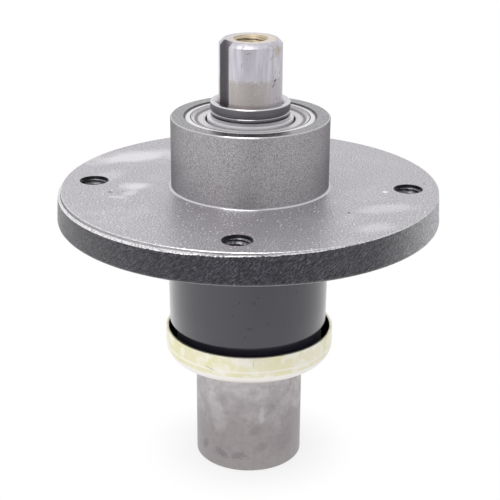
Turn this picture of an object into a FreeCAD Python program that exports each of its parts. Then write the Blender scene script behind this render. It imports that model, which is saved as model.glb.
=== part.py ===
import FreeCAD, Part
import Sketcher
import os

# Mower deck spindle. A cast housing with a round mounting flange carries a keyed shaft in two ball
# bearings. Millimetres, +Z up. The origin is on the shaft's axis, in the flange's turned upper face.

doc = FreeCAD.newDocument("mower_deck_spindle")
sheet = doc.addObject("Spreadsheet::Sheet", "Sizes")

driving_sizes = (
    ("fit_gap", 0.01, "radial gap of a seat that is pressed or slid together"),
    # Shaft
    ("shaft_diameter", 25.4, "bearing journals, and bore of all that sits on them"),
    ("stub_length", 24.5, "free stub above the top collar"),
    ("stub_relief", 0.2, "how much the stub is turned below the journals, on the radius"),
    ("journal_rise", 0.3, "how far the journal stands above the top collar"),
    ("stub_chamfer", 1.7, "lead-in at the top of the stub"),
    ("foot_diameter", 44.45, "thick blade end"),
    ("foot_length", 45.3, "thick blade end, from its shoulder to the blade face"),
    ("foot_chamfer", 0.8, "edges of the blade end"),
    ("key_width", 6.35, "keyway"),
    ("key_depth", 3.2, "keyway, below the journal's surface"),
    ("key_run", 3.0, "how far the keyway reaches down inside the top collar"),
    ("key_angle", 217.0, "direction of the keyway about the axis, from +X"),
    ("pulley_bolt_drill", 11.5, "tapping drill of the hole in the stub"),
    ("pulley_bolt_mouth", 13.6, "countersink of the hole in the stub"),
    ("pulley_bolt_depth", 36.0, "full drill depth in the stub"),
    ("blade_bolt_drill", 13.5, "tapping drill of the hole in the blade end"),
    ("blade_bolt_mouth", 16.6, "countersink of the hole in the blade end"),
    ("blade_bolt_depth", 48.0, "full drill depth in the blade end"),
    ("drill_point", 118.0, "angle of the drill's point"),
    ("countersink_angle", 90.0, "countersinks of all tapped holes"),
    # Housing
    ("bolt_circle", 127.0, "circle of the tapped holes"),
    ("bolt_count", 4, "tapped holes in the flange"),
    ("bolt_drill", 9.4, "tapping drill of the flange holes"),
    ("bolt_mouth", 11.8, "countersink of the flange holes"),
    ("casting_runout", 0.6, "how far the casting's own axis lies off the turned axis, towards -X"),
    ("rim_margin", 12.9, "from the bolt circle to the flange's cast rim, at the turned face"),
    ("rim_draft", 3.0, "casting draft of the rim, degrees"),
    ("rim_cut", 1.2, "depth of the turned taper where the rim stands out most"),
    ("rim_taper", 22.0, "turned upper edge of the rim, degrees from the axis"),
    ("rim_round", 1.5, "cast lower edge of the flange"),
    ("flange_thickness", 12.8, "flange"),
    ("pilot_height", 28.9, "turned upper hub, above the flange's face"),
    ("pilot_wall", 5.75, "turned upper hub, round the bearing seat"),
    ("pilot_edge", 0.5, "broken edges of the turned hub and of the bearing seats"),
    ("pilot_root", 0.8, "tool radius at the foot of the turned hub"),
    ("hub_wall", 6.5, "cast lower hub at its lower end, round the bearing seat"),
    ("hub_length", 45.8, "cast lower hub, from the flange to the step"),
    ("hub_draft", 0.6, "casting draft of the lower hub, degrees"),
    ("hub_root", 5.0, "cast fillet under the flange"),
    ("hub_round", 1.2, "cast lower edge of the hub"),
    ("nose_wall", 4.2, "nose inside the cup, round the bearing seat"),
    ("nose_length", 12.5, "nose inside the cup"),
    ("seat_shoulder", 4.0, "step that each outer race stops against"),
    # Bearings
    ("bearing_diameter", 52.0, "outer race"),
    ("bearing_width", 15.0, "both races"),
    ("bearing_recess", 0.4, "how far each bearing lies inside the end of its seat"),
    ("ball_diameter", 7.94, "balls"),
    ("ball_count", 9, "balls in each bearing"),
    ("ball_gap", 0.03, "running gap between balls and races"),
    ("groove_radius", 4.14, "cross-section of the ball grooves"),
    ("groove_depth", 1.8, "depth of the ball grooves"),
    ("race_corner", 1.0, "rounded corners towards the shaft and the housing"),
    ("shield_seat", 1.7, "width of the step that each shield sits on"),
    ("shield_inset", 0.9, "how far each shield lies below the race's face"),
    ("shield_sheet", 0.4, "sheet thickness of the shields"),
    ("shield_hem", 0.8, "width of the shields' rolled outer edge"),
    ("shield_gap", 0.6, "running gap between shield and inner race"),
    ("cage_band", 2.8, "width of the cage's ribbon"),
    ("cage_sheet", 0.7, "sheet thickness of the cage"),
    ("cage_gap", 0.15, "gap round each ball in its pocket"),
    ("rivet_diameter", 1.4, "cage rivets"),
    ("rivet_head", 2.2, "diameter of the rivets' heads"),
    ("rivet_head_height", 0.5, "height of the rivets' heads"),
    ("rivet_gap", 0.03, "gap round each rivet in its hole"),
    # Collars, spacer and cup
    ("collar_wall", 3.175, "top and lower collars"),
    ("collar_height", 6.7, "top collar"),
    ("collar_chamfer", 1.4, "inner upper edge of the top collar"),
    ("collar_edge", 0.35, "outer edges of the collars"),
    ("lower_collar_height", 2.4, "lower collar"),
    ("spacer_wall", 3.5, "tube between the inner races"),
    ("cup_clearance", 3.35, "between the nose and the cup's wall"),
    ("cup_sheet", 1.2, "sheet thickness of the cup"),
    ("cup_depth", 13.5, "outside height of the cup"),
    ("cup_corner", 5.5, "outside bend at the cup's floor"),
    ("cup_rim_round", 0.4, "rounded edges of the cup's rim"),
)
for row, (alias, number, meaning) in enumerate(driving_sizes, start=1):
    sheet.set(f"A{row}", alias)
    sheet.set(f"B{row}", str(number))
    sheet.set(f"C{row}", meaning)
    sheet.setAlias(f"B{row}", alias)
doc.recompute()

# Radii and heights that several pieces share, as expressions of the sheet's cells
shaft_radius = "Sizes.shaft_diameter / 2"
bore_radius = f"({shaft_radius} + Sizes.fit_gap)"
race_radius = "Sizes.bearing_diameter / 2"
seat_radius = f"({race_radius} + Sizes.fit_gap)"
pitch_radius = f"(({shaft_radius} + {race_radius}) / 2)"
ball_radius = "Sizes.ball_diameter / 2"
half_width = "Sizes.bearing_width / 2"
groove_reach = f"({ball_radius} + Sizes.ball_gap)"
inner_land = f"({pitch_radius} - {groove_reach} + Sizes.groove_depth)"
outer_land = f"({pitch_radius} + {groove_reach} - Sizes.groove_depth)"
shield_step = f"({half_width} - Sizes.shield_inset - Sizes.shield_sheet)"
shield_radius = f"({outer_land} + Sizes.shield_seat)"
half_pitch_angle = "(180 / Sizes.ball_count)"
collar_radius = f"({shaft_radius} + Sizes.collar_wall)"
flange_radius = "(Sizes.bolt_circle / 2 + Sizes.rim_margin)"
pilot_radius = f"({race_radius} + Sizes.pilot_wall)"
hub_radius = f"({race_radius} + Sizes.hub_wall)"
hub_root_radius = f"({hub_radius} + Sizes.hub_length * tan(Sizes.hub_draft))"
nose_radius = f"({race_radius} + Sizes.nose_wall)"
cup_radius = f"({nose_radius} + Sizes.cup_clearance + Sizes.cup_sheet)"

upper_face = "(Sizes.pilot_height - Sizes.bearing_recess)"
upper_shoulder = f"({upper_face} - Sizes.bearing_width)"
collar_top = f"({upper_face} + Sizes.collar_height)"
shaft_top = f"({collar_top} + Sizes.stub_length)"
flange_under = "(0 - Sizes.flange_thickness)"
hub_step = f"({flange_under} - Sizes.hub_length)"
housing_end = f"({hub_step} - Sizes.nose_length)"
lower_face = f"({housing_end} + Sizes.bearing_recess)"
lower_shoulder = f"({lower_face} + Sizes.bearing_width)"
cup_floor = f"({lower_face} - Sizes.lower_collar_height)"
foot_shoulder = f"({cup_floor} - Sizes.cup_sheet)"
foot_end = f"({foot_shoulder} - Sizes.foot_length)"

axis_z = FreeCAD.Vector(0, 0, 1)
axis_x = FreeCAD.Vector(1, 0, 0)
nodes = []


def value(expression):
    return float(sheet.evalExpression(expression))


def new_body(label, height="0"):
    body = doc.addObject("PartDesign::Body", label)
    body.Label = label
    body.setExpression("Placement.Base.z", height)
    nodes.append(body)
    return body


def turn(body, axis, angle):
    body.Placement = FreeCAD.Placement(body.Placement.Base, FreeCAD.Rotation(axis, value(angle)))
    body.setExpression("Placement.Rotation.Angle", angle)


def origin_feature(body, role):
    return next(item for item in body.Origin.OriginFeatures if item.Role == role)


def new_sketch(body, name, role="XZ_Plane"):
    sketch = body.newObject("Sketcher::SketchObject", name)
    sketch.AttachmentSupport = [(origin_feature(body, role), "")]
    sketch.MapMode = "FlatFace"
    return sketch


def pin_point(sketch, geometry, point, x, y):
    for kind, axis, place in (("DistanceX", -2, x), ("DistanceY", -1, y)):
        if place == "0":
            sketch.addConstraint(Sketcher.Constraint("PointOnObject", geometry, point, axis))
        else:
            index = sketch.addConstraint(Sketcher.Constraint(kind, -1, 1, geometry, point, value(place)))
            sketch.setExpression(f"Constraints[{index}]", place)


def outline(sketch, corners):
    points = [FreeCAD.Vector(value(x), value(y), 0) for x, y in corners]
    ends = points[1:] + points[:1]
    first = sketch.GeometryCount
    for start, end in zip(points, ends):
        sketch.addGeometry(Part.LineSegment(start, end), False)
    for index in range(len(points)):
        follower = (index + 1) % len(points)
        sketch.addConstraint(Sketcher.Constraint("Coincident", first + index, 2, first + follower, 1))
    for index, (x, y) in enumerate(corners):
        pin_point(sketch, first + index, 1, x, y)


def circle(sketch, x, y, radius):
    centre = FreeCAD.Vector(value(x), value(y), 0)
    index = sketch.addGeometry(Part.Circle(centre, axis_z, value(radius)), False)
    pin_point(sketch, index, 3, x, y)
    limit = sketch.addConstraint(Sketcher.Constraint("Radius", index, value(radius)))
    sketch.setExpression(f"Constraints[{limit}]", radius)


def centre_line(sketch, x):
    start = FreeCAD.Vector(value(x), 0, 0)
    end = FreeCAD.Vector(value(x), value(half_width), 0)
    index = sketch.addGeometry(Part.LineSegment(start, end), True)
    pin_point(sketch, index, 1, x, "0")
    pin_point(sketch, index, 2, x, half_width)


def sweep_round(body, kind, name, sketch, axis="V_Axis"):
    feature = body.newObject(f"PartDesign::{kind}", name)
    feature.Profile = sketch
    feature.ReferenceAxis = (sketch, [axis])
    feature.Angle = 360
    doc.recompute()
    return feature


def revolve(body, name, corners):
    sketch = new_sketch(body, f"{name}_profile")
    outline(sketch, corners)
    return sweep_round(body, "Revolution", name, sketch)


def turn_away(body, name, corners):
    sketch = new_sketch(body, f"{name}_profile")
    outline(sketch, corners)
    return sweep_round(body, "Groove", name, sketch)


def break_edges(body, kind, name, size, places):
    base = body.Tip
    found = []
    for radius, height in places:
        for index, edge in enumerate(base.Shape.Edges, start=1):
            if edge.Closed and isinstance(edge.Curve, Part.Circle):
                off_radius = abs(edge.Curve.Radius - value(radius))
                off_height = abs(edge.Curve.Center.z - value(height))
                if max(off_radius, off_height) < base.Shape.BoundBox.DiagonalLength * 1e-6:
                    found.append(f"Edge{index}")
    if len(found) != len(places):
        raise RuntimeError(f"{body.Label}: {name} has {len(found)} edges of {len(places)}")
    feature = body.newObject(f"PartDesign::{kind}", name)
    feature.Base = (base, found)
    feature.setExpression("Radius" if kind == "Fillet" else "Size", size)
    doc.recompute()
    return feature


def repeat(body, name, feature, count):
    pattern = body.newObject("PartDesign::PolarPattern", name)
    pattern.Originals = [feature]
    pattern.Axis = (origin_feature(body, "Z_Axis"), [""])
    pattern.Angle = 360
    pattern.setExpression("Occurrences", count)
    body.Tip = pattern
    doc.recompute()
    return pattern


def tapped_hole(body, name, sketch, drill, mouth, depth=None, upward=False):
    doc.recompute()
    hole = body.newObject("PartDesign::Hole", name)
    hole.Profile = sketch
    hole.Reversed = upward
    hole.setExpression("Diameter", drill)
    hole.HoleCutType = "Countersink"
    hole.HoleCutCustomValues = True
    hole.setExpression("HoleCutDiameter", mouth)
    hole.setExpression("HoleCutCountersinkAngle", "Sizes.countersink_angle")
    if depth:
        hole.DepthType = "Dimension"
        hole.setExpression("Depth", depth)
        hole.DrillPoint = "Angled"
        hole.setExpression("DrillPointAngle", "Sizes.drill_point")
    else:
        hole.DepthType = "ThroughAll"
    doc.recompute()
    return hole


# Housing: one casting, turned on the flange's face, the upper hub, the nose and in the bore
def make_housing():
    body = new_body("spindle_housing")
    mid_radius = f"({race_radius} - Sizes.seat_shoulder)"
    rim_foot_radius = f"({flange_radius} + Sizes.flange_thickness * tan(Sizes.rim_draft))"

    # Rough casting, about its own axis
    cast_axis = "(0 - Sizes.casting_runout)"
    cast_sketch = new_sketch(body, "casting_profile")
    outline(cast_sketch, (
        (cast_axis, "0"),
        (f"({flange_radius} + {cast_axis})", "0"),
        (f"({rim_foot_radius} + {cast_axis})", flange_under),
        (f"({hub_root_radius} + {cast_axis})", flange_under),
        (f"({hub_radius} + {cast_axis})", hub_step),
        (cast_axis, hub_step),
    ))
    centre_line(cast_sketch, cast_axis)
    sweep_round(body, "Revolution", "casting", cast_sketch, "Axis0")
    break_edges(body, "Fillet", "under_flange", "Sizes.hub_root", [(hub_root_radius, flange_under)])
    break_edges(body, "Fillet", "rim_edge", "Sizes.rim_round", [(rim_foot_radius, flange_under)])
    break_edges(body, "Fillet", "hub_edge", "Sizes.hub_round", [(hub_radius, hub_step)])

    # All that was turned lies about the shaft's axis
    revolve(body, "turned_ends", (
        ("0", housing_end),
        (nose_radius, housing_end),
        (nose_radius, flange_under),
        (pilot_radius, flange_under),
        (pilot_radius, "Sizes.pilot_height"),
        ("0", "Sizes.pilot_height"),
    ))
    turn_away(body, "bore", (
        ("0", housing_end),
        (seat_radius, housing_end),
        (seat_radius, lower_shoulder),
        (mid_radius, lower_shoulder),
        (mid_radius, upper_shoulder),
        (seat_radius, upper_shoulder),
        (seat_radius, "Sizes.pilot_height"),
        ("0", "Sizes.pilot_height"),
    ))
    break_edges(body, "Fillet", "pilot_foot", "Sizes.pilot_root", [(pilot_radius, "0")])
    break_edges(body, "Chamfer", "turned_edges", "Sizes.pilot_edge", [
        (pilot_radius, "Sizes.pilot_height"),
        (seat_radius, "Sizes.pilot_height"),
        (nose_radius, housing_end),
        (seat_radius, housing_end),
    ])
    face_radius = f"({flange_radius} + Sizes.casting_runout - Sizes.rim_cut)"
    clear_radius = f"({rim_foot_radius} + Sizes.casting_runout)"
    taper_depth = f"(({face_radius} - {clear_radius}) / tan(Sizes.rim_taper))"
    turn_away(body, "rim_edge_taper", (
        (face_radius, "0"),
        (clear_radius, "0"),
        (clear_radius, taper_depth),
    ))

    hole_sketch = new_sketch(body, "bolt_hole_place", "XY_Plane")
    circle(hole_sketch, "Sizes.bolt_circle / 2", "0", "Sizes.bolt_drill / 2")
    hole = tapped_hole(body, "bolt_hole", hole_sketch, "Sizes.bolt_drill", "Sizes.bolt_mouth")
    repeat(body, "bolt_holes", hole, "Sizes.bolt_count")


# Shaft: one turned bar, keyed stub above, bearing journals, thick blade end below
def make_shaft():
    body = new_body("spindle_shaft")
    stub_radius = f"({shaft_radius} - Sizes.stub_relief)"
    stub_foot = f"({collar_top} + Sizes.journal_rise)"
    foot_radius = "Sizes.foot_diameter / 2"
    revolve(body, "bar", (
        ("0", foot_end),
        (foot_radius, foot_end),
        (foot_radius, foot_shoulder),
        (shaft_radius, foot_shoulder),
        (shaft_radius, stub_foot),
        (stub_radius, stub_foot),
        (stub_radius, shaft_top),
        ("0", shaft_top),
    ))
    break_edges(body, "Chamfer", "stub_end", "Sizes.stub_chamfer", [(stub_radius, shaft_top)])
    break_edges(body, "Chamfer", "foot_edges", "Sizes.foot_chamfer", [
        (foot_radius, foot_end),
        (foot_radius, foot_shoulder),
    ])

    top_sketch = new_sketch(body, "pulley_bolt_place", "XY_Plane")
    top_sketch.setExpression("AttachmentOffset.Base.z", shaft_top)
    circle(top_sketch, "0", "0", "Sizes.pulley_bolt_drill / 2")
    tapped_hole(body, "pulley_bolt_hole", top_sketch, "Sizes.pulley_bolt_drill",
                "Sizes.pulley_bolt_mouth", "Sizes.pulley_bolt_depth")
    foot_sketch = new_sketch(body, "blade_bolt_place", "XY_Plane")
    foot_sketch.setExpression("AttachmentOffset.Base.z", foot_end)
    circle(foot_sketch, "0", "0", "Sizes.blade_bolt_drill / 2")
    tapped_hole(body, "blade_bolt_hole", foot_sketch, "Sizes.blade_bolt_drill",
                "Sizes.blade_bolt_mouth", "Sizes.blade_bolt_depth", upward=True)

    # Keyway, milled from the side with an end mill that leaves a round lower end
    half_key = "Sizes.key_width / 2"
    key_end = f"({collar_top} - Sizes.key_run)"
    key_floor = f"({shaft_radius} - Sizes.key_depth)"
    slot_sketch = new_sketch(body, "keyway_profile", "YZ_Plane")
    slot_sketch.setExpression("AttachmentOffset.Base.z", key_floor)
    outline(slot_sketch, (
        (f"(0 - {half_key})", key_end),
        (half_key, key_end),
        (half_key, shaft_top),
        (f"(0 - {half_key})", shaft_top),
    ))
    slot = body.newObject("PartDesign::Pocket", "keyway")
    slot.Profile = slot_sketch
    slot.Reversed = True
    slot.setExpression("Length", "Sizes.key_depth")
    end_sketch = new_sketch(body, "keyway_end_profile", "YZ_Plane")
    end_sketch.setExpression("AttachmentOffset.Base.z", key_floor)
    circle(end_sketch, "0", key_end, half_key)
    doc.recompute()
    slot_end = body.newObject("PartDesign::Pocket", "keyway_end")
    slot_end.Profile = end_sketch
    slot_end.Reversed = True
    slot_end.setExpression("Length", "Sizes.key_depth")
    turn(body, axis_z, "Sizes.key_angle")


def race_groove(body, centre):
    sketch = new_sketch(body, "ball_groove_profile")
    circle(sketch, centre, "0", "Sizes.groove_radius")
    sweep_round(body, "Groove", "ball_groove", sketch)


def make_outer_race(label, height):
    body = new_body(label, height)
    revolve(body, "ring", (
        (race_radius, f"(0 - {half_width})"),
        (race_radius, half_width),
        (shield_radius, half_width),
        (shield_radius, shield_step),
        (outer_land, shield_step),
        (outer_land, f"(0 - {shield_step})"),
        (shield_radius, f"(0 - {shield_step})"),
        (shield_radius, f"(0 - {half_width})"),
    ))
    break_edges(body, "Fillet", "corners", "Sizes.race_corner", [
        (race_radius, half_width),
        (race_radius, f"(0 - {half_width})"),
    ])
    race_groove(body, f"({pitch_radius} + {groove_reach} - Sizes.groove_radius)")


def make_inner_race(label, height):
    body = new_body(label, height)
    revolve(body, "ring", (
        (bore_radius, f"(0 - {half_width})"),
        (inner_land, f"(0 - {half_width})"),
        (inner_land, half_width),
        (bore_radius, half_width),
    ))
    break_edges(body, "Fillet", "corners", "Sizes.race_corner", [
        (bore_radius, half_width),
        (bore_radius, f"(0 - {half_width})"),
    ])
    race_groove(body, f"({pitch_radius} - {groove_reach} + Sizes.groove_radius)")


def place_on_pitch(feature):
    feature.setExpression("AttachmentOffset.Base.x", f"{pitch_radius} * cos({half_pitch_angle})")
    feature.setExpression("AttachmentOffset.Base.y", f"{pitch_radius} * sin({half_pitch_angle})")


def new_sphere(body, kind, name, radius):
    sphere = body.newObject(f"PartDesign::{kind}", name)
    sphere.AttachmentSupport = [(origin_feature(body, "XY_Plane"), "")]
    sphere.MapMode = "FlatFace"
    place_on_pitch(sphere)
    sphere.setExpression("Radius", radius)
    doc.recompute()
    return sphere


def make_balls(label, height):
    body = new_body(label, height)
    ball = new_sphere(body, "AdditiveSphere", "ball", ball_radius)
    repeat(body, "balls", ball, "Sizes.ball_count")


# Cage half: a pressed ribbon with a pocket over each ball, riveted to its twin between the balls
def make_cage_half(label, height, flipped):
    body = new_body(label, height)
    inner_edge = f"({pitch_radius} - Sizes.cage_band / 2)"
    outer_edge = f"({pitch_radius} + Sizes.cage_band / 2)"
    pocket_radius = f"({ball_radius} + Sizes.cage_gap)"
    bulge_radius = f"({pocket_radius} + Sizes.cage_sheet)"
    clear_inside = f"({pitch_radius} - {bulge_radius} - Sizes.cage_sheet)"
    clear_outside = f"({pitch_radius} + {bulge_radius} + Sizes.cage_sheet)"
    clear_height = f"({bulge_radius} + Sizes.cage_sheet)"
    clear_under = f"(0 - {clear_height})"
    revolve(body, "ribbon", (
        (inner_edge, "0"),
        (outer_edge, "0"),
        (outer_edge, "Sizes.cage_sheet"),
        (inner_edge, "Sizes.cage_sheet"),
    ))
    bulge = new_sphere(body, "AdditiveSphere", "bulge", bulge_radius)
    repeat(body, "bulges", bulge, "Sizes.ball_count")
    turn_away(body, "outer_trim", (
        (outer_edge, clear_under),
        (clear_outside, clear_under),
        (clear_outside, clear_height),
        (outer_edge, clear_height),
    ))
    turn_away(body, "inner_trim", (
        (clear_inside, clear_under),
        (inner_edge, clear_under),
        (inner_edge, clear_height),
        (clear_inside, clear_height),
    ))
    turn_away(body, "under_trim", (
        (clear_inside, clear_under),
        (clear_outside, clear_under),
        (clear_outside, "0"),
        (clear_inside, "0"),
    ))
    pocket = new_sphere(body, "SubtractiveSphere", "pocket", pocket_radius)
    repeat(body, "pockets", pocket, "Sizes.ball_count")
    hole_sketch = new_sketch(body, "rivet_hole_place", "XY_Plane")
    circle(hole_sketch, pitch_radius, "0", "(Sizes.rivet_diameter / 2 + Sizes.rivet_gap)")
    doc.recompute()
    hole = body.newObject("PartDesign::Pocket", "rivet_hole")
    hole.Profile = hole_sketch
    hole.Reversed = True
    hole.setExpression("Length", "2 * Sizes.cage_sheet")
    doc.recompute()
    repeat(body, "rivet_holes", hole, "Sizes.ball_count")
    if flipped:
        turn(body, axis_x, "180")


def make_rivets(label, height):
    body = new_body(label, height)
    shank_edge = f"({pitch_radius} + Sizes.rivet_diameter / 2)"
    head_edge = f"({pitch_radius} + Sizes.rivet_head / 2)"
    head_top = "(Sizes.cage_sheet + Sizes.rivet_head_height)"
    sketch = new_sketch(body, "rivet_profile")
    outline(sketch, (
        (pitch_radius, f"(0 - {head_top})"),
        (head_edge, f"(0 - {head_top})"),
        (head_edge, "(0 - Sizes.cage_sheet)"),
        (shank_edge, "(0 - Sizes.cage_sheet)"),
        (shank_edge, "Sizes.cage_sheet"),
        (head_edge, "Sizes.cage_sheet"),
        (head_edge, head_top),
        (pitch_radius, head_top),
    ))
    centre_line(sketch, pitch_radius)
    rivet = sweep_round(body, "Revolution", "rivet", sketch, "Axis0")
    repeat(body, "rivets", rivet, "Sizes.ball_count")


def make_shield(label, height, flipped):
    body = new_body(label, height)
    inner_edge = f"({inner_land} + Sizes.shield_gap)"
    outer_edge = f"({shield_radius} - Sizes.fit_gap)"
    hem_edge = f"({outer_edge} - Sizes.shield_hem)"
    plate_top = f"({shield_step} + Sizes.shield_sheet)"
    hem_top = f"({plate_top} + Sizes.shield_sheet)"
    revolve(body, "plate", (
        (inner_edge, shield_step),
        (outer_edge, shield_step),
        (outer_edge, hem_top),
        (hem_edge, hem_top),
        (hem_edge, plate_top),
        (inner_edge, plate_top),
    ))
    if flipped:
        turn(body, axis_x, "180")


# Shielded ball bearing, drawn about its own middle plane
def make_bearing(prefix, middle):
    make_outer_race(f"{prefix}_outer_race", middle)
    make_inner_race(f"{prefix}_inner_race", middle)
    make_balls(f"{prefix}_balls", middle)
    make_cage_half(f"{prefix}_cage_top_half", middle, flipped=False)
    make_cage_half(f"{prefix}_cage_bottom_half", middle, flipped=True)
    make_rivets(f"{prefix}_cage_rivets", middle)
    make_shield(f"{prefix}_shield_top", middle, flipped=False)
    make_shield(f"{prefix}_shield_bottom", middle, flipped=True)


def make_top_collar():
    body = new_body("top_collar", upper_face)
    revolve(body, "ring", (
        (bore_radius, "0"),
        (collar_radius, "0"),
        (collar_radius, "Sizes.collar_height"),
        (bore_radius, "Sizes.collar_height"),
    ))
    break_edges(body, "Chamfer", "bore_mouth", "Sizes.collar_chamfer", [(bore_radius, "Sizes.collar_height")])
    break_edges(body, "Fillet", "outer_edges", "Sizes.collar_edge", [
        (collar_radius, "0"),
        (collar_radius, "Sizes.collar_height"),
    ])


def make_lower_collar():
    body = new_body("lower_collar", cup_floor)
    revolve(body, "ring", (
        (bore_radius, "0"),
        (collar_radius, "0"),
        (collar_radius, "Sizes.lower_collar_height"),
        (bore_radius, "Sizes.lower_collar_height"),
    ))
    break_edges(body, "Fillet", "outer_edges", "Sizes.collar_edge", [
        (collar_radius, "0"),
        (collar_radius, "Sizes.lower_collar_height"),
    ])


def make_inner_spacer():
    body = new_body("inner_spacer", lower_shoulder)
    tube_radius = f"({shaft_radius} + Sizes.spacer_wall)"
    tube_length = f"({upper_shoulder} - {lower_shoulder})"
    revolve(body, "tube", (
        (bore_radius, "0"),
        (tube_radius, "0"),
        (tube_radius, tube_length),
        (bore_radius, tube_length),
    ))


# Dust cup: pressed sheet, clamped on the shaft's shoulder, with its rim round the housing's nose
def make_dust_cup():
    body = new_body("dust_cup", foot_shoulder)
    wall_radius = f"({cup_radius} - Sizes.cup_sheet)"
    revolve(body, "cup", (
        (bore_radius, "0"),
        (cup_radius, "0"),
        (cup_radius, "Sizes.cup_depth"),
        (wall_radius, "Sizes.cup_depth"),
        (wall_radius, "Sizes.cup_sheet"),
        (bore_radius, "Sizes.cup_sheet"),
    ))
    break_edges(body, "Fillet", "outer_bend", "Sizes.cup_corner", [(cup_radius, "0")])
    break_edges(body, "Fillet", "inner_bend", "Sizes.cup_corner - Sizes.cup_sheet", [
        (wall_radius, "Sizes.cup_sheet"),
    ])
    break_edges(body, "Fillet", "rim", "Sizes.cup_rim_round", [
        (cup_radius, "Sizes.cup_depth"),
        (wall_radius, "Sizes.cup_depth"),
    ])


make_housing()
make_shaft()
make_bearing("upper", f"({upper_shoulder} + {half_width})")
make_bearing("lower", f"({lower_face} + {half_width})")
make_top_collar()
make_inner_spacer()
make_lower_collar()
make_dust_cup()
doc.recompute()

for item in doc.Objects:
    if "Invalid" in item.State or "Error" in item.State:
        raise RuntimeError(f"{item.Label} failed: {item.State}")
os.makedirs("parts", exist_ok=True)
for node in nodes:
    if node.Shape.isNull() or not node.Shape.isValid() or not node.Shape.Solids:
        raise RuntimeError(f"{node.Label} has no valid solid")
    node.Shape.exportStep(f"parts/{node.Label}.step")
    print(f"{node.Label}: {len(node.Shape.Solids)} solids, {node.Shape.Volume:.1f} mm3")
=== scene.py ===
import bmesh
import bpy
import math
from functools import partial
from mathutils import Euler, Matrix, Vector, noise


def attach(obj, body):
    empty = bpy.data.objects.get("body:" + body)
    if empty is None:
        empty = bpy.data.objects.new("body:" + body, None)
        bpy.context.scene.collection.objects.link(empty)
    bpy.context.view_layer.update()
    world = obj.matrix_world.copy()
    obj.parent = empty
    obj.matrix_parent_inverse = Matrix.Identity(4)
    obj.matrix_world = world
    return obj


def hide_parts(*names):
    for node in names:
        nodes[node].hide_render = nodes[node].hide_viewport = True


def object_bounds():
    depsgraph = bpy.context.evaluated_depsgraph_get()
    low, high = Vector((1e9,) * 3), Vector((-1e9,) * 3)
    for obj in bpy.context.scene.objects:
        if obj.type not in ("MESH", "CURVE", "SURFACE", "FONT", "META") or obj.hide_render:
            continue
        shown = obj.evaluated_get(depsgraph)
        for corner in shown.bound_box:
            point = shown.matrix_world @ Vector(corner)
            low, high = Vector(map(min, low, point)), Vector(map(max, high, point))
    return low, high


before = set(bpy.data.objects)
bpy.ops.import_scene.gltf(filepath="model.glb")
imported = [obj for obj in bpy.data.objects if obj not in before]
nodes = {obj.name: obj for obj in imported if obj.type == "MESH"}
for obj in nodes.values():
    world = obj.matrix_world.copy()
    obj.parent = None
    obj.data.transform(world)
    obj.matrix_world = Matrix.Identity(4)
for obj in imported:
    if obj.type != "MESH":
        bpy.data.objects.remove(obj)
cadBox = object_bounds()
mm = 0.001


def linearColour(hexText):
    channels = [int(hexText[i:i + 2], 16) / 255 for i in (1, 3, 5)]
    linear = [c / 12.92 if c <= 0.04045 else ((c + 0.055) / 1.055) ** 2.4 for c in channels]
    return (*linear, 1.0)


def addNode(tree, kind, inputs=(), out=0, **settings):
    node = tree.nodes.new(kind)
    for name, setting in settings.items():
        setattr(node, name, setting)
    for key, given in (inputs if isinstance(inputs, dict) else dict(enumerate(inputs))).items():
        if isinstance(given, bpy.types.NodeSocket):
            tree.links.new(given, node.inputs[key])
        else:
            node.inputs[key].default_value = given
    return node.outputs[out] if len(node.outputs) else node


def newMaterial(name):
    material = bpy.data.materials.new(name)
    material.use_nodes = True
    material.node_tree.nodes.clear()
    put = partial(addNode, material.node_tree)
    place = put("ShaderNodeTexCoord", out="Object")
    return material, put, place


def cylinderPlace(put, place):
    x, y, z = put("ShaderNodeSeparateXYZ", [place]).node.outputs
    flat = put("ShaderNodeCombineXYZ", [x, y])
    radius = put("ShaderNodeVectorMath", [flat], "Value", operation="LENGTH")
    angle = put("ShaderNodeMath", [y, x], operation="ARCTAN2")
    return radius, angle, z


# Turned grey cast iron: tool-mark rings, drawn coarser than the real feed so that they show, open graphite grain with
# white glint specks painted on the camera side as painted highlights, and pale wipe marks, the large back-left one also
# a painted reflection
turnedFace = {
    "dark": "#99969b", "pale": "#dcd9de", "wipedAndReflectionPale": "#f0eef2", "stain": "#47444a", "paintedGlintWhite": "#fbfafc", "metal": 0.85,
    "edgeTint": (1, 1, 1, 1), "smoothest": 0.32, "roughest": 0.5, "cloud": 0.2,
    "grainMm": 0.62, "cloudMm": 16.0, "ringMm": 0.5, "glintMm": 1.5, "glintShare": 0.5, "glintSizes": (0.34, 0.16),
    "grainDepth": 0.05, "ringDepth": 0.012, "glintDepth": 0.4, "glintFront": (5.0, -30.0),
    # pale wipe marks; the large back-left one also paints the brighter reflection there
    "wipesAndPaintedReflection": [(-53, 33, 22, 26, 10, 0.75), (-45, -6, 15, 8, 6, 0.75), (-46.5, -14.5, 60, 7, 2.5, 0.5),
              (-50.5, -20, -5, 6, 2.0, 0.5), (-60, 5, 60, 14, 7, 0.3), (54, -25, 15, 16, 6, 0.4),
              (50, -46, 20, 10, 6, 0.4)],  # x, y, turn, half length, half width, strength
    "wipeFray": 1.6, "wipeEdge": (1.9, 1.1),
    "spots": [(-54.6, -14.1, 1.0), (39.9, -30.7, 0.9), (70.2, 7.0, 0.7)],  # x, y, size
    # white dots painted as the highlights of raised specks
    "paintedGlintDots": [(54.2, -4.5, 1.6), (-54.2, -11.6, 0.6)],
}
turnedHub = {
    **turnedFace, "dark": "#827f83", "pale": "#c3c0c3", "edgeTint": (0.35, 0.35, 0.36, 1), "grainMm": 0.36,
    "smoothest": 0.26, "roughest": 0.4, "cloud": 0.0, "glintShare": 0.0, "wipesAndPaintedReflection": [], "spots": [], "paintedGlintDots": [],
}
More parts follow.
